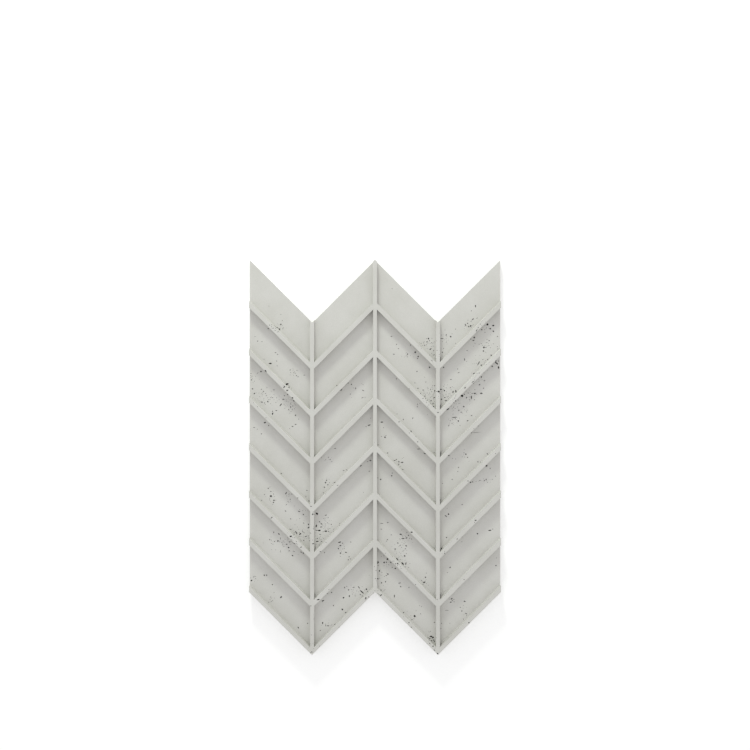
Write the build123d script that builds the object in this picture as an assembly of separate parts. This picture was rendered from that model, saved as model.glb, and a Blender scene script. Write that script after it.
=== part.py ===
from build123d import *

import os
from math import cos, radians, tan

# Cast concrete wall panel with a chevron relief.
# The panel is one casting. Its face is a herringbone of sunken boards, parted by ribs that stand
# proud of them, and its zigzag ends interlock with the panels above and below. It lies on its back:
# X runs across the panel, Y up the wall and Z out of the face. Lengths are in millimetres.

# Driving dimensions: the pattern
COLUMNS = 4  # columns of boards, leaning left and right in turn
ROWS = 7  # boards in each column
COLUMN_WIDTH = 120.0  # from one column line to the next
BOARD_WIDTH = 64.0  # square across a board and the rib under it
CHEVRON_ANGLE = 45.0  # degrees, slope of the boards

# Driving dimensions: the section
SLAB_THICKNESS = 13.0  # from the back to the boards
RIB_HEIGHT = 12.0  # from the boards to the ribs' tops
DIAGONAL_RIB_WIDTH = 8.6  # at the top of the rib under each board
DIAGONAL_RIB_DROP = 0.9  # from each board line down to the rib's lower edge, trimmed off at the bottom end
UPRIGHT_RIB_WIDTH = 7.5  # at the top of the rib between two columns
DRAFT_ANGLE = 3.0  # degrees, lean of the ribs' sides, which frees the casting from its mould
ARRIS_RADIUS = 0.8  # outward edges of the ribs and of the boards' open ends

# Sizes that follow from them
RISE = COLUMN_WIDTH * tan(radians(CHEVRON_ANGLE))  # a board's climb across its column
SLANT = 1 / cos(radians(CHEVRON_ANGLE))  # height up the panel for each unit square to a board
PITCH = BOARD_WIDTH * SLANT  # from one board line to the next, up a column line
WIDTH = COLUMNS * COLUMN_WIDTH
SIDE_HEIGHT = ROWS * PITCH
THICKNESS = SLAB_THICKNESS + RIB_HEIGHT
OVERRUN = THICKNESS  # how far a cutter runs past an edge that it leaves open


def line_x(line):
    """Place across the panel of a column line, counted from the left side."""
    return line * COLUMN_WIDTH - WIDTH / 2


def line_y(line, row):
    """Height up the panel at which a board line meets a column line. Row 0 is the top edge."""
    lean = RISE / 2 if line % 2 == 0 else -RISE / 2
    return SIDE_HEIGHT / 2 - row * PITCH + lean


def blank():
    """The casting before its boards are sunk: the zigzag outline at full thickness."""
    lines = range(COLUMNS + 1)
    top = [(line_x(line), line_y(line, 0)) for line in lines]
    bottom = [(line_x(line), line_y(line, ROWS)) for line in reversed(lines)]
    return extrude(make_face(Polyline(*top, *bottom, close=True)), THICKNESS)


def board_cutter(column, row):
    """The space over one board: a parallelogram that narrows with depth and runs out over open edges."""
    left, right = column, column + 1
    slope = (line_y(right, row) - line_y(left, row)) / COLUMN_WIDTH
    left_gap = UPRIGHT_RIB_WIDTH / 2 if left > 0 else -OVERRUN
    right_gap = UPRIGHT_RIB_WIDTH / 2 if right < COLUMNS else -OVERRUN
    x_ends = (line_x(left) + left_gap, line_x(right) - right_gap)

    upper_gap = DIAGONAL_RIB_DROP * SLANT if row > 0 else -OVERRUN
    upper = [line_y(left, row) - upper_gap + slope * (x - line_x(left)) for x in x_ends]
    lower_gap = (DIAGONAL_RIB_WIDTH - DIAGONAL_RIB_DROP) * SLANT
    lower = [line_y(left, row + 1) + lower_gap + slope * (x - line_x(left)) for x in x_ends]

    corners = [
        (x_ends[0], lower[0]),
        (x_ends[1], lower[1]),
        (x_ends[1], upper[1]),
        (x_ends[0], upper[0]),
    ]
    opening = Plane.XY.offset(THICKNESS)
    prism = extrude(opening * make_face(Polyline(*corners, close=True)), -RIB_HEIGHT)
    sides = prism.faces().filter_by(Axis.Z, reverse=True)
    return draft(sides, opening, -DRAFT_ANGLE)


def crosses(face, height):
    """Whether a face runs from below this height to above it."""
    box = face.bounding_box()
    return box.min.Z < height < box.max.Z


def arrises(panel):
    """The edges that face out of the wall: round the ribs' tops and along the boards' open ends."""
    rib_tops = panel.faces().filter_by(Axis.Z).sort_by(Axis.Z)[-1]
    outline = panel.faces().filter_by(lambda face: crosses(face, SLAB_THICKNESS / 2))
    level_edges = outline.edges().filter_by(Plane.XY).group_by(Axis.Z)
    board_ends = level_edges[1]
    return rib_tops.edges() + board_ends


def chevron_panel():
    """The whole casting: the blank with its boards sunk and its outward edges rounded."""
    cutters = [board_cutter(column, row) for column in range(COLUMNS) for row in range(ROWS)]
    panel = blank() - cutters
    return fillet(arrises(panel), ARRIS_RADIUS)


def main():
    os.makedirs("parts", exist_ok=True)
    panel = chevron_panel()
    print("size", panel.bounding_box().size, "volume", round(panel.volume), "faces", len(panel.faces()))
    export_step(panel, "parts/chevron_panel.step")


if __name__ == "__main__":
    main()
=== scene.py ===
import math

import bmesh
import bpy
import numpy as np
from bpy.props import FloatProperty, FloatVectorProperty, IntProperty, PointerProperty
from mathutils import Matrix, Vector
from mathutils.bvhtree import BVHTree


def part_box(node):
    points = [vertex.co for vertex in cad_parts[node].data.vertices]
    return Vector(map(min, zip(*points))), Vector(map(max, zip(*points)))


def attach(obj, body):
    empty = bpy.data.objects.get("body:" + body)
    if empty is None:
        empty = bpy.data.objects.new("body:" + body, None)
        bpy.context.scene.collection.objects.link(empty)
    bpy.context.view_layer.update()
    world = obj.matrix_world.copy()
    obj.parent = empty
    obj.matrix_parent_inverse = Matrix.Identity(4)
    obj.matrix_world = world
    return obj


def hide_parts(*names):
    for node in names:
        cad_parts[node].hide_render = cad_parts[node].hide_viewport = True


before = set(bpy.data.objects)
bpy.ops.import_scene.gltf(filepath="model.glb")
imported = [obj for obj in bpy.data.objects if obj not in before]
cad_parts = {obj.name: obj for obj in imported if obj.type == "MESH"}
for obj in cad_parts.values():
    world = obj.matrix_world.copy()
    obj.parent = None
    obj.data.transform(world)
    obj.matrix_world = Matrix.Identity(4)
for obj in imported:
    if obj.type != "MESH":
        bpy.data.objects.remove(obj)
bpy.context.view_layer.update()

bl_info = {
    "name": "Chevron concrete panel",
    "version": (1, 0, 0),
    "blender": (4, 5, 0),
    "location": "3D View > Sidebar > Concrete panel",
    "description": "Dresses a cast concrete wall panel with its air pores and finish, and sets its stage",
    "category": "Object",
}

MM = 0.001
NODE = "chevron_panel"
LOW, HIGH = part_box(NODE)
FACE = HIGH.z  # height of the ribs' tops above the panel's back
WIDTH = HIGH.x - LOW.x

WELD = 0.001 * MM  # corners closer than this are one corner
SHARP_DEGREES = 32  # edges that turn more than this stay sharp
FINE_BALL, COARSE_BALL = 3, 2  # times that the ball of a wide pore and of a narrow one is subdivided
FINE_WIDTH = 2.6 * MM  # pores that are wider than this, on average, get the finer ball
SMALL_BIAS = 2.2  # the power that makes narrow pores more common than wide ones
OUT_OF_ROUND = (0.85, 1.2)  # a round pore's width along one side, as a share of its mean width
DEPTH_SHARE = (0.8, 1.2)  # a pore's full depth, as a share of its width
SINK_SHARE = (0.05, 0.4)  # how far its centre lies below the surface, as a share of half that depth
LUMP_WAVES = 4  # ripples that make a pore's wall uneven
LUMP_RANGE = (1.2, 3.6)  # how closely the broadest of them and the finest are spaced
LUMP_HEIGHT = 0.1  # height of each ripple, as a share of a round pore's radius
LONG_CALM = 0.6  # share of that height that a long pore's ripples have, which keeps its ends round
LAYERS = 2  # cuts that the pores are shared out to, so that pores of one cut never touch
TRIES = 6  # places tried for each pore of a group before it is left out
REACH_SPREAD = 0.62  # a group's pores gather towards its middle
RIM_DEPTH = 0.02 * MM  # a surface that reaches deeper than this belongs to a pore
LEVEL_RISE, STEEP_RISE = 0.999, 0.06  # upward share of a level plane's normal, and of a steep one's
FACING = 0.9  # a normal with a larger share of a direction than this faces that way
EDGE_RISE = 0.02  # and one with a smaller upward share than this belongs to an outer edge
ARRIS_BEND = 50  # degrees, the most that an arris turns away from the plane beside it
PORE_DEPTH = "pore_depth"  # name of the stored depth below the cast surface
MIX_FACTOR, MIX_A, MIX_B, MIX_RESULT = 0, 6, 7, 2  # colour sockets of a mix node
BACK_RISE = -0.5  # upward share of the normal below which a surface has the back's finish
CLOUD_RANGE = (0.35, 0.68)  # noise levels at which a cloud starts and is full
SAND_RANGE = (0.3, 0.7)  # noise levels of the darkest and the lightest sand
SAND_TINT = (0.95, 1.03)  # shares of the paste's colour that those two show
GRIT_RANGE = (0.45, 0.75)  # noise levels at which the grit starts to show and is bare
# Painted shade in the pores starts at this depth and is full at the pore shade depth.
SHADE_START = 0.05 * MM  # depth below the face at which a pore starts to darken
SKIN_DEPTH, SKIN_STRENGTH = 0.12 * MM, 0.35  # relief of the sand under the paste
FLOAT_DEPTH = 0.9 * MM  # relief of the ridges that the float left on the back
FLOAT_STRETCH = (0.25, 1.0, 1.0)  # they run on four times as far across the panel as up it
PLACE_STRETCH = 1.003  # the places below were read this much too near the panel's centre
PLACE_SHIFT = -1.16  # and are off by this much up the panel, in millimetres
FLOOR_REACH = 6.0  # from the middle of the floor to its edges, in metres
FLOOR_GAP = 0.5 * MM  # keeps the floor clear of the panel's flat back
DIM_SIDE = (-0.45, 0.89, 0.0)  # heading towards which the sky is dimmest
KEY_PLACE = (-0.33, 2.3, 0.9)  # the softboxes' places, in metres from the middle of the panel's back
FILL_PLACE = (-0.3, 0.95, 0.75)
FILL_SIZE = 0.8  # width of the broad softbox, in metres

# Air pores that the mix left against the mould, column by column from the left and roughly from the
# top down. Each is given by its place across and up from the panel's centre and its width, in
# millimetres.
ROUND_PORES = (
    # First column
    (-180, 254, 2.6), (-182.5, 244.5, 2.6), (-200, 252, 1.6), (-204, 246, 2.0), (-193, 246, 1.3),
    (-189, 242, 1.3), (-177, 261, 1.3), (-180, 273, 1.2), (-224, 222, 1.8), (-229, 231, 1.3),
    (-188, 184, 1.6), (-187, 175, 1.3), (-218, 164, 2.7), (-237, 160, 1.6), (-235, 155, 1.3),
    (-236, 148, 1.8), (-149, 166, 1.4), (-150, 156, 1.7), (-147, 154, 1.4), (-164.5, 133.5, 2.8),
    (-167, 128, 2.7), (-167, 120, 2.0), (-156.8, 114, 2.8), (-234, 131, 2.4), (-230.5, 122, 2.4),
    (-217, 130, 1.5), (-213, 126, 1.9), (-209, 122, 1.7), (-203, 110, 1.3), (-205, 106.5, 2.4),
    (-216, 105.5, 2.4), (-211, 104, 1.7), (-173, 118, 1.8), (-161, 102, 1.8), (-157, 98, 1.5),
    (-165, 91, 1.8), (-158, 91, 1.4), (-196, 88, 1.8), (-152, 80.5, 2.4), (-223, 97, 1.2),
    (-207, 76, 1.3), (-203, 61, 2.0), (-163, 55, 1.2), (-225, 54, 1.4), (-217, 45, 1.7), (-146, 73, 1.2),
    (-179, -31, 1.7), (-204, -59, 1.9), (-211, -71, 1.5), (-199, -74, 3.6), (-194, -70, 1.3),
    (-194, -86, 2.2), (-164, -70, 1.3), (-159, -70, 1.8), (-162, -80, 1.7), (-169, -90, 1.6),
    (-171, -102.5, 2.2), (-137, -109, 2.0), (-126, -83, 2.0), (-132, -75, 1.3), (-118, -107, 2.6),
    (-161, -117.5, 1.7), (-127, -128, 2.6), (-127, -134, 2.7), (-117, -134, 1.3), (-193.5, -143, 2.2),
    (-155.5, -147, 2.0), (-127, -150, 1.5), (-126, -154, 1.6), (-136, -158.5, 2.1), (-141.5, -159.5, 1.8),
    (-145, -151, 1.4), (-122, -143, 1.5), (-201, -157, 1.8), (-192, -160.5, 1.8), (-198, -158, 1.3),
    (-185.5, -159.5, 3.0), (-176, -166, 1.3), (-168.5, -166, 2.2), (-174, -170, 1.3), (-165, -172, 2.2),
    (-164, -178.5, 2.0), (-157.5, -187.5, 2.5), (-156, -179, 1.3), (-137, -183, 2.4), (-211.5, -225, 2.6),
    (-207, -225, 2.2), (-236, -235, 2.6), (-196, -243, 1.9), (-195, -166, 1.2), (-193, -258, 1.3),
    (-200, -267, 1.3), (-198, -275, 1.3), (-203, -277, 1.4), (-129, -317, 2.0), (-120, -368.5, 2.2),
    # Second column
    (-73, 137, 1.9), (-45, 139.5, 2.2), (-51, 142, 1.8), (-47, 121, 1.7), (-17, 59, 1.3), (-89, 0, 1.6),
    (-85.5, -4, 1.8), (-94, -4, 1.2), (-92.5, -44, 2.0), (-94.5, -48, 2.4), (-96.5, -57, 2.3),
    (-90, -52, 1.6), (-98.5, -68, 1.5), (-14, -8, 1.6), (-11, -26.5, 2.0), (-111, -107.5, 4.8),
    (-22, -67, 1.2), (-106, -123, 2.2), (-103, -133, 2.4), (-91, -125, 1.4), (-99, -142, 1.6),
    (-88.5, -141.5, 2.2), (-83.5, -128, 2.0), (-68, -130, 1.2), (-79, -137, 1.3), (-79, -141.5, 1.5),
    (-86, -136, 1.2), (-110, -155, 1.7), (-106, -168, 1.4), (-62, -164, 1.8), (-70, -174, 2.0),
    (-61.5, -175, 1.3), (-66, -183, 2.6), (-49.5, -190, 1.8), (-51, -195.5, 2.0), (-46.5, -194, 1.6),
    (-96.5, -181.5, 2.0), (-58, -248.5, 2.0), (-54, -246.5, 1.6), (-83, -258, 2.0), (-87.5, -250, 1.5),
    (-60, -268, 2.4), (-50.5, -253, 2.2), (-43, -261, 1.3), (-28, -262, 2.0), (-23, -266, 1.3),
    (-16.5, -252, 2.8), (-14, -256, 1.6), (-12, -264, 1.7), (-79.5, -283, 1.9), (-62.5, -290.5, 3.2),
    (-56, -296.5, 2.2), (-67.5, -322, 2.0), (-94, -321.5, 1.8), (-116, -306, 1.4), (-116, -298, 1.3),
    (-1, -206.5, 1.4), (0.5, -229, 1.4), (2, -213.5, 1.4),
    # Third column
    (41, 216, 1.7), (45, 208, 1.7), (68, 214.5, 2.0), (77, 200.5, 3.5), (82.5, 192.5, 2.4),
    (81, 189, 2.0), (62, 192, 1.5), (57, 192, 1.2), (102, 227, 2.6), (104, 223, 1.8), (88, 218, 1.4),
    (95, 214, 1.8), (93, 220, 1.3), (108, 219, 1.5), (112, 204, 1.8), (118, 204, 1.5), (113, 196, 2.2),
    (108, 185, 1.5), (104, 172, 2.6), (19, 38.5, 2.6), (21, 42, 1.5), (12, 40, 1.3), (16, 57, 1.4),
    (80, 164, 2.2), (41, 150, 1.8), (65, 131, 1.7), (97, 144, 1.5), (82, 132, 2.2), (92, 128.5, 2.4),
    (87, 122, 1.9), (106, 130, 1.6), (114, 137, 1.8), (114, 127, 2.2), (117.5, 126, 1.5), (121, 126, 3.3),
    (95, 117, 2.0), (91, 113, 1.8), (96.5, 112.5, 1.5), (100, 109, 1.8), (107, 108.5, 2.0),
    (104, 123, 1.2), (111, 103, 2.2), (112, 97, 2.2), (54, 72.5, 1.8), (45.5, 68.5, 1.8), (42, 83, 1.3),
    (69, 50, 2.2), (65, 47.5, 1.5), (78, 40, 1.5), (81, 30.5, 1.9), (24, 8.5, 2.0), (41, -4, 2.0),
    (45.5, -8, 2.2), (33, -30, 1.8), (32, -35, 2.4), (11, -42, 2.4), (6, 24, 1.5), (113, 9, 1.4),
    (31, -148, 1.8), (64, -149, 2.2), (66, -154.5, 1.5), (61, -143, 1.5), (70, -156, 1.5),
    (43.5, -163.5, 2.2), (38.5, -175, 2.6), (59.5, -169, 2.4), (58, -174.5, 1.8), (23.5, -157, 2.0),
    (22, -160, 1.3), (56.5, -188, 2.8), (60, -184, 1.4), (24, -194, 3.0), (34, -196, 1.4),
    (30, -200.5, 2.4), (43, -200.5, 2.5), (39, -201, 1.8), (17.5, -200.5, 3.0), (5.5, -200.5, 3.2),
    (22, -200.5, 2.0), (58, -209, 1.4), (39, -212, 2.4), (33, -210, 1.4), (26, -205, 1.3),
    (64, -210, 1.2), (17, -188, 1.3), (12, -189, 1.3), (6, -206.5, 1.5), (24.5, -223, 2.4),
    (21.5, -225.5, 2.0), (5, -231.5, 2.8), (20, -237.5, 2.2), (12.5, -239.5, 2.4), (49, -247, 2.2),
    (96.5, -229, 2.4), (91.5, -242.5, 1.8), (89, -235, 1.5), (77, -240.5, 1.5), (98, -221, 1.2),
    (113, -173.5, 1.4), (6, -258, 1.5), (8, -260, 1.5), (54.5, -296.5, 1.9), (76, -303, 3.6),
    (87, -299, 1.6), (64.5, -313, 2.2), (70, -310, 1.4), (69, -321.5, 1.8), (85, -283, 1.2),
    (89, -285, 1.2), (113.5, -315, 2.0), (106, -332, 1.4), (110.5, -344, 3.0), (112, -349, 2.3),
    (104, -352, 1.8), (110, -353.5, 3.0), (110, -357.5, 2.6), (108, -350.3, 2.4), (113.5, -351.5, 2.6),
    (119, -371.5, 2.8),
    # Fourth column
    (184, 280, 1.4), (177, 256, 2.0), (179, 250, 2.6), (183, 251, 3.2), (200, 254, 1.7), (204, 244, 2.2),
    (210, 239, 1.8), (215, 254, 3.8), (226, 252, 3.4), (220, 246, 2.6), (226, 241, 2.6), (234, 231, 1.8),
    (136, 234, 2.0), (144.5, 230.5, 2.8), (136, 220, 1.4), (154, 245, 1.5), (154, 218, 1.4),
    (189.5, 229, 2.9), (183, 226, 1.8), (191, 218, 1.5), (208, 210, 3.2), (212, 210, 1.8),
    (218, 223, 1.8), (226, 217, 1.2), (207, 203, 2.2), (222, 195, 2.4), (131, 208, 1.3),
    (128.5, 201, 2.2), (206, 187, 1.6), (203, 176, 2.7), (215, 187, 1.8), (231, 184, 2.2),
    (236, 184, 1.8), (224, 174, 2.4), (131, 172, 2.6), (166, 117.5, 4.5), (170.5, 120.5, 2.0),
    (175, 114.5, 2.0), (185.5, 122, 1.8), (178, 123, 1.8), (190, 110, 1.5), (199.5, 139, 2.6),
    (207, 132, 1.7), (203, 153.5, 2.6), (198, 161, 1.8), (158, 169, 1.6), (132.5, 127.5, 2.8),
    (144, 133, 1.7), (133, 114.5, 2.0), (127, 111, 2.4), (126, 130, 2.8), (154.2, 107.8, 2.4),
    (159, 109.5, 1.4), (140, 117, 1.2), (150.7, 104.3, 1.9), (150, 96, 1.5), (160, 89.5, 2.2),
    (169.5, 97, 2.5), (164.5, 86, 2.2), (175, 87, 1.2), (159, 69.5, 2.6), (147, 65, 1.6), (144, 70, 1.2),
    (188, 55.5, 1.4), (197, 60, 1.6), (184, 47, 1.8), (173.5, 6, 2.4), (177, 0, 2.0), (170, 9, 1.3),
    (154, -3, 1.4), (148, -2, 1.2), (229, 8, 1.3), (196.5, -8.5, 1.9), (202, -9, 1.6), (213, -16, 3.2),
    (220, -21, 1.8), (159.5, -19, 2.0), (158, -27, 1.3), (230, -36, 1.5), (212.5, -42, 2.2),
    (209, -44, 1.8), (224, -42, 1.4), (199.5, -44, 1.4), (176.5, -44, 1.8), (182.5, -47.5, 2.6),
    (186.5, -47, 2.0), (193, -46, 1.1), (129, -50, 1.5), (140.5, -108.5, 2.4), (138, -97, 1.3),
    (189, -122.5, 1.3), (195.5, -145.5, 3.0), (225, -137, 1.5), (165.5, -151.5, 2.2), (136.5, -153, 2.0),
    (166, -161, 1.4), (132.3, -181.3, 1.8), (143.5, -210, 2.6), (138, -220, 1.4), (231, -206.5, 2.1),
    (169, -231, 1.8), (232, -192, 1.3), (148, -273.5, 2.0), (151, -271, 1.5), (163, -286.5, 1.7),
    (166, -293.5, 2.0), (169, -309, 1.7), (178.5, -313, 2.4), (143, -317, 1.2), (127, -317, 1.4),
    (126, -327, 1.4),
)

# Pores that the mould drew out as the mix slid past it. Each also has its length and its turn, in degrees
# round from the panel's width. The narrow upright ones beside the upright ribs are dark voids put in the
# acute corners there: painted shade, standing for the shade that gathers in those corners.
LONG_PORES = (
    # First column
    (-187, 248, 1.2, 3.5, 10), (-184, 240, 1.2, 3.0, 70), (-216, 221, 1.0, 2.4, 0),
    (-190, 200, 1.4, 3.0, 0), (-186, 197, 1.3, 2.8, -10), (-200, 179.5, 2.8, 4.4, 0),
    (-207.5, 164.7, 3.0, 4.5, 115), (-162, 167, 1.4, 3.0, 90), (-135, 157, 1.3, 2.6, 0),
    (-168, 140, 3.6, 5.0, 15), (-172.5, 134.5, 2.3, 4.2, 50), (-155, 108, 1.8, 3.5, -45),
    (-193, 129, 1.4, 2.8, 0), (-196, 114, 1.4, 2.6, 0), (-175, 111, 1.8, 3.4, 0),
    (-180, 100.5, 2.2, 4.5, 55), (-161, 96.5, 2.0, 3.2, 90), (-195.5, 83.5, 2.4, 3.6, 70),
    (-188.5, 89.5, 1.6, 3.2, 0), (-215, 93, 1.3, 2.5, 45), (-210.5, 66.5, 2.6, 4.0, 20),
    (-151.5, 63, 1.8, 2.8, 10), (-157.5, 59, 1.8, 2.8, 0), (-231, 57, 1.4, 2.6, 0),
    (-199, -65, 1.4, 2.6, 0), (-193, -82, 2.4, 3.2, -15), (-170, -68.5, 2.2, 4.0, 60),
    (-145, -103, 2.2, 3.4, 0), (-147, -76, 1.5, 2.6, 0), (-130, -63, 1.5, 3.0, 0),
    (-121.5, -92, 1.8, 2.8, 0), (-196.5, -113.5, 1.8, 4.0, 35), (-183.5, -146.5, 2.2, 3.2, -40),
    (-161, -137.5, 1.6, 3.2, 0), (-150.5, -143.5, 2.2, 6.0, -60), (-160, -149, 3.0, 3.8, 10),
    (-143, -146.5, 2.7, 4.2, 35), (-138, -142, 1.4, 3.6, -55), (-132, -151, 1.8, 3.6, 20),
    (-180.5, -155, 1.0, 4.0, 85), (-163, -161, 1.7, 3.2, 0), (-154, -164.5, 1.8, 3.5, -20),
    (-148, -168, 1.7, 3.4, 60), (-140.5, -169.5, 1.8, 3.0, 20), (-141, -181, 1.6, 3.2, -15),
    (-231.5, -228, 1.2, 3.4, 40), (-179.5, -267, 2.8, 3.4, 45), (-146.5, -325, 2.0, 2.8, -60),
    (-122, -281, 1.3, 2.4, 0),
    # Second column
    (-65, 129, 2.8, 4.4, 45), (-37, 132, 1.8, 2.8, 90), (-23, 128, 1.6, 3.4, -25),
    (-24, 114, 1.0, 3.5, 30), (-11, 61.5, 2.2, 4.0, 15), (-76, 17, 1.5, 3.0, 0), (-77, -48, 1.6, 3.0, 10),
    (-71, -52, 1.1, 2.6, 30), (-60, -25, 1.2, 3.0, 0), (-54, -24, 1.1, 4.0, -25),
    (-27, -16, 1.8, 3.0, 40), (-9, -6, 2.2, 3.0, 0), (-94, -110.5, 1.6, 3.4, 10),
    (-102, -127, 2.0, 3.2, -40), (-112, -131, 3.0, 3.8, 70), (-106.5, -139.5, 3.0, 4.2, 0),
    (-111.5, -139.5, 1.4, 3.0, 0), (-94, -141, 2.6, 4.4, 0), (-105, -147, 1.3, 3.4, 0),
    (-110.5, -160.5, 2.2, 4.0, 0), (-102, -160.5, 1.7, 2.6, 0), (-117.5, -163, 2.0, 3.0, 15),
    # Painted shade: the narrow upright voids at -114.7 across, on this line and the next, sit in the acute
    # corners beside the upright rib to darken them as shade would.
    (-114.7, 97, 0.7, 5.0, 88), (-114.7, -83.5, 0.9, 5.0, 88), (-114.7, -173.5, 1.1, 6.0, 88),
    (-114.7, -264, 1.0, 6.0, 88), (-67.5, -162, 2.4, 4.6, 15), (-66, -168.5, 2.2, 2.8, 0),
    (-55.5, -181.5, 2.2, 3.0, 0), (-103.5, -178, 1.8, 2.8, -15), (-41, -248.5, 1.3, 3.0, 0),
    (-107.5, -269, 2.4, 4.0, 15), (-99.5, -274, 2.4, 4.0, 25), (-91, -260, 1.5, 2.6, 0),
    (-49, -265, 2.4, 3.2, 85), (-30.5, -248.5, 1.8, 4.5, -55), (-25, -257, 2.2, 7.5, -42),
    (-17.5, -266.5, 2.6, 3.4, 80), (-76, -319, 1.8, 2.8, 0), (-100, -316.5, 2.2, 3.2, 85),
    (-89.5, -321.5, 1.8, 3.2, 0), (-104.5, -330.5, 1.5, 2.6, 0),
    # Third column
    (31.5, 231, 1.5, 3.0, 5), (36, 197, 1.5, 3.2, 5), (62, 197, 1.8, 3.4, 70), (99, 221, 1.4, 3.4, 55),
    (106, 207, 2.0, 3.8, 40), (13, 67.5, 2.4, 4.0, 0), (113, 114, 2.2, 3.2, 10),
    (81.2, 101.5, 1.2, 2.6, 85), (80.8, 96.8, 1.2, 2.6, 85), (72, 75, 1.6, 2.8, 60),
    (119.5, 86, 1.8, 2.6, 0), (37.5, -6, 1.5, 3.0, 10), (51.5, -9.5, 2.2, 4.0, 5),
    (45, -14, 1.5, 3.0, 45), (53, -23, 1.3, 3.6, -20), (95, 7.5, 2.2, 3.0, -20), (83, 16, 1.5, 5.0, 0),
    (13, -126, 1.2, 5.0, 0), (24, -124.5, 1.5, 3.0, 0), (12, -137, 1.2, 3.0, 0), (49, -147, 2.7, 3.7, 0),
    (53.5, -155, 2.2, 4.5, 0), (60, -154, 2.0, 3.4, 15), (69.5, -141, 2.6, 3.4, 0),
    (48, -168, 1.3, 3.0, 40), (42.5, -194.5, 2.6, 5.0, -55), (53, -203, 3.0, 5.0, -45),
    (59, -203, 1.8, 4.4, 75), (8.5, -217, 2.4, 3.2, 80), (47, -240, 1.8, 4.0, 10),
    (94, -238.5, 2.6, 3.6, 15), (11, -254, 2.2, 3.4, 30), (11.5, -260.5, 2.2, 3.6, 35),
    (37, -265, 1.7, 4.0, 90), (32.5, -287, 1.3, 3.0, 0), (107, -342, 3.0, 4.4, -5),
    (104, -347, 2.6, 4.2, 45), (113, -365, 1.5, 3.0, -45),
    # Fourth column
    (192, 289, 2.2, 3.6, 90), (187, 264, 2.0, 3.2, 35), (195, 266, 1.4, 2.6, 30),
    (173, 253, 1.6, 4.2, 115), (196, 247.5, 1.2, 3.0, 50), (193, 242, 1.8, 3.4, 60),
    (128, 227, 1.4, 4.5, 0), (188, 223.5, 2.0, 3.0, 20), (213, 219, 1.0, 3.5, 0), (176, 204, 1.3, 2.6, 0),
    (171, 187, 1.7, 4.0, 95), (198, 180, 1.8, 7.0, 62), (232, 180, 2.8, 6.0, -38),
    (236, 172, 2.8, 4.0, 100), (184, 115, 2.4, 5.6, 90), (190.5, 122.5, 2.6, 3.6, 0),
    (203, 122.5, 2.8, 3.6, 0), (209, 147, 1.8, 2.6, 0), (189, 160.5, 2.0, 3.0, 20),
    (186, 144.5, 1.5, 4.5, 30), (171, 133, 2.2, 3.0, 60), (145, 149, 1.8, 2.8, 0),
    (160, 162, 1.2, 3.6, 25), (149, 125, 2.2, 4.0, 85), (154.5, 126, 2.3, 4.5, 105),
    (135.5, 108.5, 2.2, 3.6, 10), (139, 92, 2.4, 5.0, 35), (184.5, 80, 1.6, 2.8, 15),
    (152, 76.5, 1.6, 8.8, 5), (177, 70, 2.0, 2.8, 0), (141, 61, 1.5, 3.5, 60), (193, 47.5, 0.8, 14.0, 4),
    (141, 3.5, 2.2, 3.2, 15), (215, 6.5, 1.8, 3.0, -35), (147.5, -42, 1.3, 2.6, 0),
    (166.5, -90, 1.6, 2.6, 0), (135.5, -112, 1.8, 4.0, -40), (191, -118.5, 2.4, 3.4, 0),
    # Painted shade: the last pore on this line, at 126.5 across, and the narrow upright voids at 124.7
    # across on the next two lines sit in the acute corners beside the upright rib to darken them as shade
    # would.
    (219.5, -139.5, 2.2, 4.4, 5), (156, -154, 1.3, 3.4, 75), (126.5, -175, 2.4, 6.0, 75),
    (124.7, 188, 1.1, 6.0, 88), (124.7, 97.6, 1.2, 6.5, 88), (124.7, 7, 1.3, 6.5, 88),
    (124.7, -83, 1.2, 6.0, 88), (124.7, -264, 1.2, 6.0, 88), (146.5, -270, 2.2, 3.0, 40),
    (145, -276.5, 2.2, 3.2, 0), (171, -275, 2.2, 3.4, -20), (174, -298, 1.8, 2.8, 0),
    (137, -292, 1.0, 6.0, 0),
)

# Groups of fine pores: the middle, the reach across and up, and how many there are.
FINE_GROUPS = (
    # First column
    (-188, 248, 14, 8, 18), (-158, 162, 14, 8, 10), (-211, 117, 20, 14, 34), (-162, 100, 14, 14, 30),
    (-168, 136, 8, 8, 10), (-232, 150, 8, 12, 10), (-200, -74, 10, 14, 12), (-166, -78, 10, 12, 12),
    (-146, -150, 22, 14, 52), (-176, -162, 22, 12, 28), (-134, -110, 12, 14, 10), (-232, -232, 6, 8, 5),
    (-200, -272, 8, 6, 6), (-120, -360, 6, 14, 8),
    # Second column
    (-98, -130, 16, 14, 40), (-106, -160, 12, 8, 16), (-64, -172, 8, 12, 10), (-92, -52, 10, 12, 8),
    (-36, -256, 16, 10, 18), (-90, -320, 16, 6, 6), (-40, 130, 16, 10, 6), (-90, -2, 8, 6, 5),
    # Third column
    (98, 216, 16, 12, 22), (104, 118, 16, 18, 56), (62, 196, 8, 6, 6), (112, 196, 8, 14, 12),
    (46, -8, 10, 6, 6), (56, -156, 14, 12, 18), (46, -180, 16, 14, 20), (44, -202, 18, 8, 26),
    (14, -226, 12, 16, 18), (92, -238, 8, 8, 8), (108, -350, 8, 10, 12), (8, -258, 8, 6, 8),
    (66, -306, 10, 12, 6),
    # Fourth column
    (180, 253, 10, 8, 12), (212, 246, 16, 10, 16), (214, 214, 14, 14, 18), (138, 228, 10, 10, 12),
    (140, 120, 14, 16, 36), (206, 180, 18, 14, 18), (196, 150, 12, 12, 16), (162, 92, 18, 14, 20),
    (182, 118, 14, 10, 16), (150, 70, 12, 10, 10), (210, -43, 16, 4, 8), (176, 4, 8, 8, 5),
    (146, -272, 6, 6, 6), (168, -292, 10, 14, 7), (134, -180, 8, 8, 5),
)


def linear(code):
    """An sRGB hex colour as linear red, green and blue."""
    shares = [int(code[i:i + 2], 16) / 255 for i in (1, 3, 5)]
    return [s / 12.92 if s <= 0.04045 else ((s + 0.055) / 1.055) ** 2.4 for s in shares]


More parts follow.
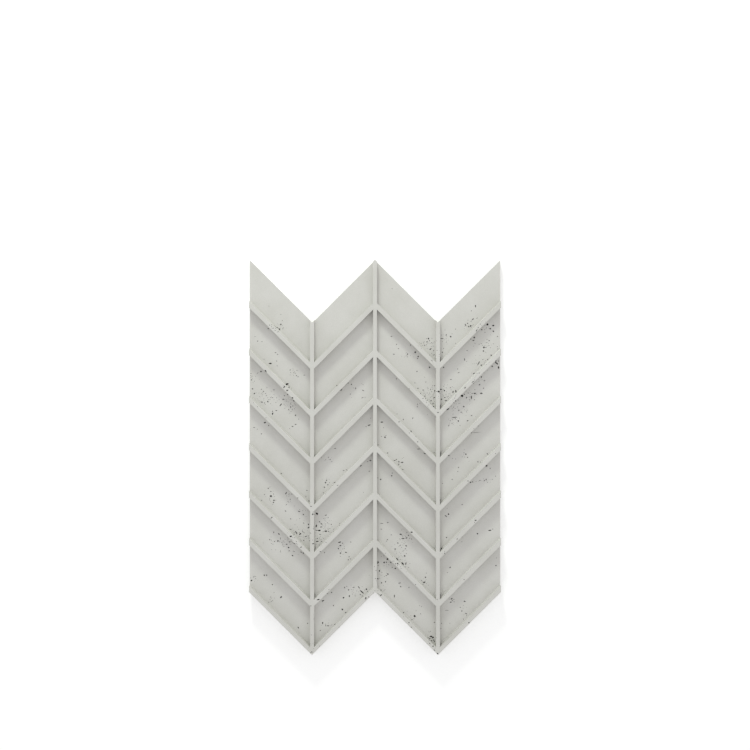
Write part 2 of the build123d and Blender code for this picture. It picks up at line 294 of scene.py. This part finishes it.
class PoreSettings(bpy.types.PropertyGroup):
    """Air pores in the cast surface."""

    swell: FloatProperty(
        name="Pore swell", description="Widens or narrows all the pores that have a place of their own",
        default=1.1, min=0.5, max=2)
    draw_out: FloatProperty(
        name="Drawn out", description="Draws the long pores out further, and thinner by as much",
        default=1.2, min=0.5, max=2)
    narrowest: FloatProperty(
        name="Narrowest pore", description="Width of the smallest pore that is modelled",
        default=0.9 * MM, min=0.3 * MM, max=3 * MM, unit="LENGTH", subtype="DISTANCE", precision=4)
    scattered: IntProperty(
        name="Scattered on the face", description="Pores that stand apart from the groups",
        default=20, min=0, max=600)
    on_edges: IntProperty(
        name="On the edges", description="Pores in the upright edges of the panel",
        default=70, min=0, max=400)
    on_back: IntProperty(
        name="On the back", description="Pores in the floated back",
        default=60, min=0, max=400)
    widest_fine: FloatProperty(
        name="Widest fine pore", description="Width of the largest pore in the fine groups",
        default=1.5 * MM, min=0.5 * MM, max=6 * MM, unit="LENGTH", subtype="DISTANCE", precision=4)
    widest_scattered: FloatProperty(
        name="Widest scattered pore", description="Width of the largest pore outside the groups",
        default=2.2 * MM, min=0.5 * MM, max=6 * MM, unit="LENGTH", subtype="DISTANCE", precision=4)
    seed: IntProperty(
        name="Pore seed", description="Another number lays the pores out anew", default=7, min=0)


class ConcreteSettings(bpy.types.PropertyGroup):
    """Colours and grain of the concrete, and the painted shade in its pores."""

    paste: FloatVectorProperty(
        name="Paste", description="Main colour of the cast face",
        default=linear("#D1D0CC"), subtype="COLOR", size=3, min=0, max=1)
    cloud: FloatVectorProperty(
        name="Clouds", description="Colour of the darker clouds in the cast face",
        default=linear("#CBCAC5"), subtype="COLOR", size=3, min=0, max=1)
    # Painted shade: the pore colour is painted deep in each pore for the shade that falls there, and the
    # pore grit colour gives lighter patches of that painted shade.
    pore: FloatVectorProperty(
        name="Pores", description="Colour deep inside an air pore",
        default=linear("#2E2D2A"), subtype="COLOR", size=3, min=0, max=1)
    grit_in_pore_shade: FloatVectorProperty(
        name="Pore grit", description="Colour of the bare grit that shows in a pore's walls",
        default=linear("#4E4C47"), subtype="COLOR", size=3, min=0, max=1)
    grit_size: FloatProperty(
        name="Grit size", description="Spacing of the grit in a pore's walls",
        default=0.6 * MM, min=0.1 * MM, max=10 * MM, unit="LENGTH", subtype="DISTANCE", precision=4)
    pore_shade: FloatProperty(
        name="Pore shade depth", description="Depth below the face at which a pore is fully dark",
        default=0.4 * MM, min=0.1 * MM, max=5 * MM, unit="LENGTH", subtype="DISTANCE", precision=4)
    back: FloatVectorProperty(
        name="Back", description="Colour of the floated back",
        default=linear("#BFBEB7"), subtype="COLOR", size=3, min=0, max=1)
    cloud_size: FloatProperty(
        name="Cloud size", description="Width of the soft clouds in the paste",
        default=55 * MM, min=5 * MM, max=500 * MM, unit="LENGTH", subtype="DISTANCE")
    sand_size: FloatProperty(
        name="Sand size", description="Spacing of the sand grains that show in the paste",
        default=1.4 * MM, min=0.2 * MM, max=10 * MM, unit="LENGTH", subtype="DISTANCE", precision=4)
    float_size: FloatProperty(
        name="Float mark spacing", description="Spacing of the ridges that the float left on the back",
        default=9 * MM, min=1 * MM, max=50 * MM, unit="LENGTH", subtype="DISTANCE")


class StageSettings(bpy.types.PropertyGroup):
    """Floor, lights and camera."""

    floor: FloatVectorProperty(
        name="Floor", description="Colour of the studio floor",
        default=linear("#F7F7F7"), subtype="COLOR", size=3, min=0, max=1)
    floor_lift: FloatProperty(
        name="Floor lift",
        description="How much the floor is lifted, in the picture alone, to show as white",
        default=0.22, min=0, max=1)
    sky: FloatProperty(
        name="Sky", description="Strength of the even white light from all round",
        default=0.81, min=0, max=3)
    sky_slope: FloatProperty(
        name="Sky slope", description="How much dimmer that light is beyond the panel's top end",
        default=0.08, min=0, max=1)
    key_colour: FloatVectorProperty(
        name="Key colour", description="Tint of the softbox above the panel's top end",
        default=linear("#F8FFF4"), subtype="COLOR", size=3, min=0, max=1)
    key_power: FloatProperty(
        name="Key light", description="Power of the softbox above the panel's top end",
        default=24.5, min=0, max=500, unit="POWER")
    key_size: FloatProperty(
        name="Key size", description="Width of that softbox, which sets how soft the ribs' shadows are",
        default=0.35, min=0.05, max=3, unit="LENGTH", subtype="DISTANCE")
    fill_power: FloatProperty(
        name="Fill light", description="Power of the broad softbox that lifts the panel's top end",
        default=0.5, min=0, max=500, unit="POWER")
    lens: FloatProperty(
        name="Lens", description="Focal length of the camera, in millimetres",
        default=50, min=20, max=200)
    picture_share: FloatProperty(
        name="Share of the picture", description="Panel's width as a share of the picture's",
        default=0.33607, min=0.1, max=1, subtype="FACTOR")
    drop: FloatProperty(
        name="Drop", description="How far the panel's centre lies below the middle of the picture",
        default=156.7 * MM, min=-1, max=1, unit="LENGTH", subtype="DISTANCE")


def add_node(tree, kind, inputs=(), **settings):
    """Adds a node to a tree, with its settings, its inputs' values and the links into it."""
    made = tree.nodes.new(kind)
    for name, value in settings.items():
        setattr(made, name, value)
    for socket, value in dict(inputs).items():
        if isinstance(value, bpy.types.NodeSocket):
            tree.links.new(value, made.inputs[socket])
        else:
            made.inputs[socket].default_value = value
    return made


def rgba(colour):
    """A colour with full alpha, as a colour socket takes it."""
    return (*colour, 1.0)


def blend(tree, factor, first, second, way="MIX"):
    """Blends a second colour into a first one."""
    sockets = {MIX_FACTOR: factor, MIX_A: first, MIX_B: second}
    return add_node(tree, "ShaderNodeMix", sockets, data_type="RGBA", blend_type=way).outputs[MIX_RESULT]


def fair_faced_concrete(settings):
    """Fair-faced architectural concrete, cast against a smooth rubber mould and left uncoated.

    The paste takes the mould's smooth skin, so the face is matt and even, with soft clouds where the mix
    settled, a fine grain of sand and air pores, whose insides are painted dark with shade. The back was
    floated while it lay open, so it is rougher, a little darker and ridged.
    """
    material = bpy.data.materials.new("fair_faced_concrete")
    material.use_nodes = True
    tree = material.node_tree
    tree.nodes.clear()
    place = add_node(tree, "ShaderNodeTexCoord").outputs["Object"]
    normal = add_node(tree, "ShaderNodeNewGeometry").outputs["True Normal"]
    facing = add_node(tree, "ShaderNodeSeparateXYZ", {"Vector": normal}).outputs["Z"]
    on_back = add_node(tree, "ShaderNodeMath", {0: facing, 1: BACK_RISE}, operation="LESS_THAN").outputs[0]

    # Soft clouds in the paste, a few centimetres across.
    clouds = add_node(tree, "ShaderNodeTexNoise", {
        "Vector": place, "Scale": 1 / settings.cloud_size, "Detail": 3.0, "Roughness": 0.55})
    cloudiness = add_node(tree, "ShaderNodeMapRange", {
        "Value": clouds.outputs["Fac"], "From Min": CLOUD_RANGE[0], "From Max": CLOUD_RANGE[1],
    }).outputs["Result"]
    face_colour = blend(tree, cloudiness, rgba(settings.paste), rgba(settings.cloud))
    cast_colour = blend(tree, on_back, face_colour, rgba(settings.back))

    # Sand in the paste. Real grains are about 0.3 mm, so they are drawn coarser to show at all.
    sand = add_node(tree, "ShaderNodeTexNoise", {
        "Vector": place, "Scale": 1 / settings.sand_size, "Detail": 2.0, "Roughness": 0.6})
    grain = add_node(tree, "ShaderNodeMapRange", {
        "Value": sand.outputs["Fac"], "From Min": SAND_RANGE[0], "From Max": SAND_RANGE[1],
        "To Min": SAND_TINT[0], "To Max": SAND_TINT[1]}).outputs["Result"]
    sanded = blend(tree, 1.0, cast_colour, grain, "MULTIPLY")

    # Painted shade: a pore's colour darkens from its rim to its floor, for the shade that falls inside it,
    # because little light comes back out of it. Lighter patches of painted shade, standing for bare grit,
    # make its walls uneven.
    depth = add_node(tree, "ShaderNodeAttribute", attribute_name=PORE_DEPTH).outputs["Fac"]
    inside = add_node(tree, "ShaderNodeMapRange", {
        "Value": depth, "From Min": SHADE_START, "From Max": settings.pore_shade}).outputs["Result"]
    grit = add_node(tree, "ShaderNodeTexNoise", {
        "Vector": place, "Scale": 1 / settings.grit_size, "Detail": 2.0, "Roughness": 0.6}).outputs["Fac"]
    grit_patches_in_shade = add_node(tree, "ShaderNodeMapRange", {
        "Value": grit, "From Min": GRIT_RANGE[0], "From Max": GRIT_RANGE[1]}).outputs["Result"]
    painted_pore_shade = blend(tree, grit_patches_in_shade, rgba(settings.pore), rgba(settings.grit_in_pore_shade))
    colour = blend(tree, inside, sanded, painted_pore_shade)

    # Relief finer than the mesh: the sand's skin everywhere, and the float's ridges on the back.
    skin = add_node(tree, "ShaderNodeBump", {
        "Strength": SKIN_STRENGTH, "Distance": SKIN_DEPTH, "Height": sand.outputs["Fac"],
    }).outputs["Normal"]
    stretched = add_node(tree, "ShaderNodeMapping", {
        "Vector": place, "Scale": FLOAT_STRETCH}).outputs["Vector"]
    ridges = add_node(tree, "ShaderNodeTexNoise", {
        "Vector": stretched,
        "Scale": 1 / settings.float_size, "Detail": 5.0, "Roughness": 0.65, "Distortion": 0.8})
    floated = add_node(tree, "ShaderNodeBump", {
        "Strength": on_back, "Distance": FLOAT_DEPTH, "Height": ridges.outputs["Fac"], "Normal": skin,
    }).outputs["Normal"]

    shader = add_node(tree, "ShaderNodeBsdfPrincipled", {
        "Base Color": colour, "Roughness": 0.88, "IOR": 1.5, "Specular IOR Level": 0.35,
        "Normal": floated})
    add_node(tree, "ShaderNodeOutputMaterial", {"Surface": shader.outputs["BSDF"]})
    return material


def background_rays(tree):
    """1 for the rays that show the background, straight, mirrored or through glass, and 0 for light."""
    path = add_node(tree, "ShaderNodeLightPath").outputs
    mirrored = add_node(tree, "ShaderNodeMath", {
        0: path["Is Glossy Ray"], 1: path["Is Transmission Ray"]}, operation="MAXIMUM").outputs[0]
    return add_node(tree, "ShaderNodeMath", {
        0: path["Is Camera Ray"], 1: mirrored}, operation="MAXIMUM").outputs[0]


def matt_white_paper(settings):
    """A matt white paper sweep. It shows as plain white round the object and keeps the soft shadow."""
    material = bpy.data.materials.new("matt_white_paper")
    material.use_nodes = True
    tree = material.node_tree
    tree.nodes.clear()
    seen = background_rays(tree)
    lift = add_node(tree, "ShaderNodeMath", {
        0: seen, 1: settings.floor_lift}, operation="MULTIPLY").outputs[0]
    shader = add_node(tree, "ShaderNodeBsdfPrincipled", {
        "Base Color": rgba(settings.floor), "Roughness": 0.95, "Specular IOR Level": 0.0,
        "Emission Color": rgba(settings.floor), "Emission Strength": lift})
    add_node(tree, "ShaderNodeOutputMaterial", {"Surface": shader.outputs["BSDF"]})
    return material


def new_object(name, data):
    """Links a new object into the scene."""
    made = bpy.data.objects.new(name, data)
    bpy.context.scene.collection.objects.link(made)
    return made


def bare_casting():
    """A copy of the CAD panel's mesh, with the seams between its faces welded."""
    welded = bmesh.new()
    welded.from_mesh(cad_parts[NODE].data)
    bmesh.ops.remove_doubles(welded, verts=welded.verts, dist=WELD)
    mesh = bpy.data.meshes.new("concrete_panel")
    welded.to_mesh(mesh)
    surface = BVHTree.FromBMesh(welded)
    welded.free()
    return mesh, surface


def unit_ball(subdivisions):
    """Corners and triangles of a round ball of radius 1."""
    ball = bmesh.new()
    bmesh.ops.create_icosphere(ball, subdivisions=subdivisions, radius=1.0)
    corners = np.array([vertex.co for vertex in ball.verts])
    triangles = np.array([[vertex.index for vertex in face.verts] for face in ball.faces])
    ball.free()
    return corners, triangles


class PoreField:
    """Collects air pores of a casting as lumpy balls that don't touch, for one cut."""

    def __init__(self, draw):
        self.draw = draw
        self.fine, self.coarse = unit_ball(FINE_BALL), unit_ball(COARSE_BALL)
        self.centres, self.radii = np.empty((0, 3)), np.empty(0)
        self.corners, self.triangles, self.count = [], [], 0

    def __len__(self):
        """How many pores there are so far."""
        return len(self.corners)

    def width(self, narrowest, widest):
        """A width between two sizes. Small pores are far more common than wide ones."""
        return narrowest + (widest - narrowest) * self.draw.random() ** SMALL_BIAS

    def is_clear(self, centres, radius):
        """Whether balls of this radius at these centres stay clear of all the pores so far."""
        gaps = np.linalg.norm(self.centres[:, None] - centres[None], axis=2) - self.radii[:, None]
        return (gaps > radius).all()

    def add(self, point, normal, width, length=None, turn=None):
        """Sinks one pore into the surface at a point. Returns False where it would meet another.

        The turn is measured round the normal, from the panel's width. A pore without a length is
        nearly round, and one without a turn lies any way.
        """
        spread = self.draw.uniform(*OUT_OF_ROUND)
        size = np.array([width * spread, width / spread, width * self.draw.uniform(*DEPTH_SHARE)]) / 2
        if length:
            size[:2] = length / 2, width / 2
        if turn is None:
            turn = self.draw.uniform(0, 2 * math.pi)
        level = Vector((1, 0, 0)) if abs(normal.x) < FACING else Vector((0, 1, 0))
        along = normal.cross(level).normalized()
        first = along.cross(normal) * math.cos(turn) + along * math.sin(turn)
        axes = np.array([first, normal.cross(first), normal])
        centre = np.array(point) - axes[2] * size[2] * self.draw.uniform(*SINK_SHARE)

        mean_width = 2 * math.sqrt(size[0] * size[1])
        corners, triangles = self.fine if mean_width > FINE_WIDTH else self.coarse
        waves = self.draw.normal(size=(LUMP_WAVES, 3)) * np.linspace(*LUMP_RANGE, LUMP_WAVES)[:, None]
        shifts = self.draw.uniform(0, 2 * math.pi, LUMP_WAVES)
        height = LUMP_HEIGHT * LONG_CALM if length else LUMP_HEIGHT
        lumps = 1 + height * np.sin(corners @ waves.T + shifts).sum(axis=1)

        # Several balls along a long pore stand for it where its distance to the others is measured.
        radius = size[1:].max() * lumps.max()
        end = max(size[0] * lumps.max() - radius, 0)
        balls = centre + np.linspace(-end, end, 1 + math.ceil(2 * end / radius))[:, None] * axes[0]
        if not self.is_clear(balls, radius):
            return False
        self.centres = np.vstack((self.centres, balls))
        self.radii = np.append(self.radii, np.full(len(balls), radius))
        self.corners.append(centre + (corners * lumps[:, None] * size) @ axes)
        self.triangles.append(triangles + self.count)
        self.count += len(corners)
        return True

    def mesh(self):
        """All the pores as one mesh of closed balls."""
        made = bpy.data.meshes.new("air_pores")
        made.from_pydata(np.vstack(self.corners), [], np.vstack(self.triangles))
        return made


def sink_pore(pores, surface, across, up, width, length=None, turn=None):
    """Sinks a pore into the relief face, straight below a place. Returns False where there is no room."""
    point, normal, _, _ = surface.ray_cast(Vector((across, up, FACE + WIDTH)), Vector((0, 0, -1)))
    return point is not None and pores.add(point, normal, width, length, turn)


def true_place(across, up):
    """Where a listed pore lies on the casting."""
    return across * PLACE_STRETCH * MM, (up * PLACE_STRETCH + PLACE_SHIFT) * MM


def sink_listed(layers, surface, across, up, *size):
    """Sinks a listed pore in the first cut that has room for it."""
    for pores in layers:
        if sink_pore(pores, surface, *true_place(across, up), *size):
            return


def placed_pores(layers, surface, settings):
    """Sinks the pores that have a place of their own. One that meets another goes to the next cut."""
    swollen = settings.swell * MM
    for across, up, width, length, turn in LONG_PORES:
        drawn_width = width * swollen / settings.draw_out
        drawn_length = length * swollen * settings.draw_out
        sink_listed(layers, surface, across, up, drawn_width, drawn_length, math.radians(turn))
    for across, up, width in ROUND_PORES:
        sink_listed(layers, surface, across, up, width * swollen)


def group_pores(pores, surface, settings):
    """Sinks the groups of fine pores into the relief face."""
    for across, up, reach_across, reach_up, count in FINE_GROUPS:
        for _ in range(count):
            for _ in range(TRIES):
                aside = pores.draw.normal(size=2) * REACH_SPREAD
                width = pores.width(settings.narrowest, settings.widest_fine)
                place = true_place(across + aside[0] * reach_across, up + aside[1] * reach_up)
                if sink_pore(pores, surface, *place, width):
                    break


def scatter_pores(pores, mesh, settings, faces, count):
    """Sinks single pores, evenly by area, into those faces of the casting."""
    areas = np.array([mesh.polygons[i].area for i in faces])
    picks = pores.draw.choice(faces, size=count, p=areas / areas.sum())
    for pick in picks:
        a, b, c = (mesh.vertices[i].co for i in mesh.polygons[pick].vertices)
        u, v = pores.draw.random(2)
        if u + v > 1:
            u, v = 1 - u, 1 - v
        point = a + (b - a) * u + (c - a) * v
        width = pores.width(settings.narrowest, settings.widest_scattered)
        pores.add(point, mesh.polygons[pick].normal.copy(), width)


def cut(piece, cutter):
    """Takes a cutter's volume out of a piece, leaves the piece's mesh final and removes the cutter."""
    before = len(piece.data.polygons)
    carve = piece.modifiers.new("carve", "BOOLEAN")
    carve.operation = "DIFFERENCE"
    carve.solver = "MANIFOLD"
    carve.object = cutter
    carved = piece.evaluated_get(bpy.context.evaluated_depsgraph_get())
    final = bpy.data.meshes.new_from_object(carved)
    piece.modifiers.clear()
    piece.data = final
    bpy.data.objects.remove(cutter)
    if len(final.polygons) <= before:
        raise RuntimeError("the pores couldn't be cut into the panel")


def mark_pores(mesh, surface):
    """Stores each point's depth below the cast surface, by which the finish paints shade into the pores,
    and sharpens the rims.

    Returns the faces that are left of the cast surface itself.
    """
    depths = np.array([surface.find_nearest(vertex.co)[3] for vertex in mesh.vertices])
    mesh.attributes.new(PORE_DEPTH, "FLOAT", "POINT").data.foreach_set("value", depths)
    cast = [depths[list(face.vertices)].max() < RIM_DEPTH for face in mesh.polygons]
    shaped = bmesh.new()
    shaped.from_mesh(mesh)
    for edge in shaped.edges:
        if len({cast[face.index] for face in edge.link_faces}) > 1:
            edge.smooth = False
    shaped.to_mesh(mesh)
    shaped.free()
    return [face for face, is_cast in zip(mesh.polygons, cast) if is_cast]


def is_plane(face):
    """Whether a face of the casting lies in one of its planes, and not in a rounded arris."""
    rise = abs(face.normal.z)
    return rise > LEVEL_RISE or rise < STEEP_RISE


def even_out(mesh, cast):
    """Gives the casting's planes one normal each and lets the arrises run into them.

    The cuts leave slivers beside the pores, which would tilt the normals of whole planes otherwise.
    """
    normals = np.array([corner.vector for corner in mesh.corner_normals])
    planes = {}
    for face in filter(is_plane, cast):
        normals[face.loop_start:face.loop_start + face.loop_total] = face.normal
        for corner in face.vertices:
            planes.setdefault(corner, []).append(face.normal.copy())
    for face in cast:
        if not is_plane(face):
            for loop, corner in zip(face.loop_indices, face.vertices):
                beside = max(planes.get(corner, ()), key=face.normal.dot, default=None)
                if beside and face.normal.angle(beside, math.pi) < math.radians(ARRIS_BEND):
                    normals[loop] = beside
    mesh.normals_split_custom_set(normals)


class CHEVRON_OT_cast_panel(bpy.types.Operator):
    """Builds the concrete panel from the CAD casting, with its air pores cut into it"""

    bl_idname = "chevron.cast_panel"
    bl_label = "Cast the panel"

    def execute(self, context):
        settings = context.scene.chevron_pores
        mesh, surface = bare_casting()
        tilt = np.array([polygon.normal.z for polygon in mesh.polygons])
        face, back = np.flatnonzero(tilt > FACING), np.flatnonzero(tilt < -FACING)
        edges = np.flatnonzero(abs(tilt) < EDGE_RISE)
        draw = np.random.default_rng(settings.seed)
        layers = [PoreField(draw) for _ in range(LAYERS)]
        placed_pores(layers, surface, settings)
        pores = layers[0]
        group_pores(pores, surface, settings)
        scatter_pores(pores, mesh, settings, face, settings.scattered)
        scatter_pores(pores, mesh, settings, edges, settings.on_edges)
        scatter_pores(pores, mesh, settings, back, settings.on_back)

        panel = new_object("concrete_panel", mesh)
        for layer in layers:
            if len(layer):
                cut(panel, new_object("air_pores", layer.mesh()))
        panel.data.shade_smooth()
        panel.data.set_sharp_from_angle(angle=math.radians(SHARP_DEGREES))
        cast = mark_pores(panel.data, surface)
        even_out(panel.data, cast)
        panel.data.materials.clear()
        panel.data.materials.append(fair_faced_concrete(context.scene.chevron_concrete))
        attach(panel, "root")
        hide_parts(NODE)
        return {"FINISHED"}


def softbox(name, place, size, power, colour=(1, 1, 1)):
    """A square lamp with a white cloth front, turned to the middle of the panel's face."""
    lamp = bpy.data.lights.new(name, "AREA")
    lamp.size = size
    lamp.energy = power
    lamp.color = colour
    box = new_object(name, lamp)
    box.location = place
    ahead = Vector((0, 0, FACE)) - box.location
    box.rotation_euler = ahead.to_track_quat("-Z", "Y").to_euler()


class CHEVRON_OT_set_stage(bpy.types.Operator):
    """Lays the floor, hangs the lights and places the camera above the panel"""

    bl_idname = "chevron.set_stage"
    bl_label = "Set the stage"

    def execute(self, context):
        settings = context.scene.chevron_stage
        scene = context.scene

        sheet = bmesh.new()
        bmesh.ops.create_grid(sheet, x_segments=1, y_segments=1, size=FLOOR_REACH)
        mesh = bpy.data.meshes.new("floor")
        sheet.to_mesh(mesh)
        sheet.free()
        floor = new_object("floor", mesh)
        floor.location.z = LOW.z - FLOOR_GAP
        mesh.materials.append(matt_white_paper(settings))

        world = bpy.data.worlds.new("studio")
        world.use_nodes = True
        tree = world.node_tree
        tree.nodes.clear()
        heading = add_node(tree, "ShaderNodeTexCoord").outputs["Generated"]
        dimness = add_node(tree, "ShaderNodeVectorMath", {
            0: heading, 1: DIM_SIDE}, operation="DOT_PRODUCT").outputs["Value"]
        glow = add_node(tree, "ShaderNodeMapRange", {
            "Value": dimness, "From Min": -1.0, "To Min": settings.sky * (1 + settings.sky_slope),
            "To Max": settings.sky * (1 - settings.sky_slope)}).outputs["Result"]
        strength = add_node(tree, "ShaderNodeMapRange", {
            "Value": background_rays(tree), "To Min": glow, "To Max": 1.0}).outputs["Result"]
        light = add_node(tree, "ShaderNodeBackground", {"Color": (1, 1, 1, 1), "Strength": strength})
        add_node(tree, "ShaderNodeOutputWorld", {"Surface": light.outputs["Background"]})
        scene.world = world

        softbox("key_softbox", KEY_PLACE, settings.key_size, settings.key_power, settings.key_colour)
        softbox("fill_softbox", FILL_PLACE, FILL_SIZE, settings.fill_power)

        lens = bpy.data.cameras.new("camera")
        lens.lens = settings.lens
        camera = new_object("camera", lens)
        distance = WIDTH / settings.picture_share * settings.lens / lens.sensor_width
        camera.location = (0, settings.drop, FACE + distance)
        scene.camera = camera
        scene.view_settings.view_transform = "Standard"
        return {"FINISHED"}


class CHEVRON_PT_sidebar(bpy.types.Panel):
    """Lists the panel's settings and its steps"""

    bl_label = "Concrete panel"
    bl_space_type = "VIEW_3D"
    bl_region_type = "UI"
    bl_category = "Concrete panel"

    def draw(self, context):
        steps = (
            ("Pores", context.scene.chevron_pores),
            ("Concrete", context.scene.chevron_concrete),
            ("Stage", context.scene.chevron_stage),
        )
        for title, settings in steps:
            box = self.layout.box()
            box.label(text=title)
            for name in settings.__annotations__:
                box.prop(settings, name)
        self.layout.operator(CHEVRON_OT_cast_panel.bl_idname)
        self.layout.operator(CHEVRON_OT_set_stage.bl_idname)


CLASSES = (
    PoreSettings,
    ConcreteSettings,
    StageSettings,
    CHEVRON_OT_cast_panel,
    CHEVRON_OT_set_stage,
    CHEVRON_PT_sidebar,
)


def register():
    """Adds the classes to Blender and their settings to each scene."""
    for kind in CLASSES:
        bpy.utils.register_class(kind)
    bpy.types.Scene.chevron_pores = PointerProperty(type=PoreSettings)
    bpy.types.Scene.chevron_concrete = PointerProperty(type=ConcreteSettings)
    bpy.types.Scene.chevron_stage = PointerProperty(type=StageSettings)


def unregister():
    """Takes the settings and the classes out again."""
    del bpy.types.Scene.chevron_stage
    del bpy.types.Scene.chevron_concrete
    del bpy.types.Scene.chevron_pores
    for kind in reversed(CLASSES):
        bpy.utils.unregister_class(kind)


def main():
    """Builds the panel and its stage."""
    register()
    bpy.ops.chevron.cast_panel()
    bpy.ops.chevron.set_stage()


if __name__ == "__main__":
    main()
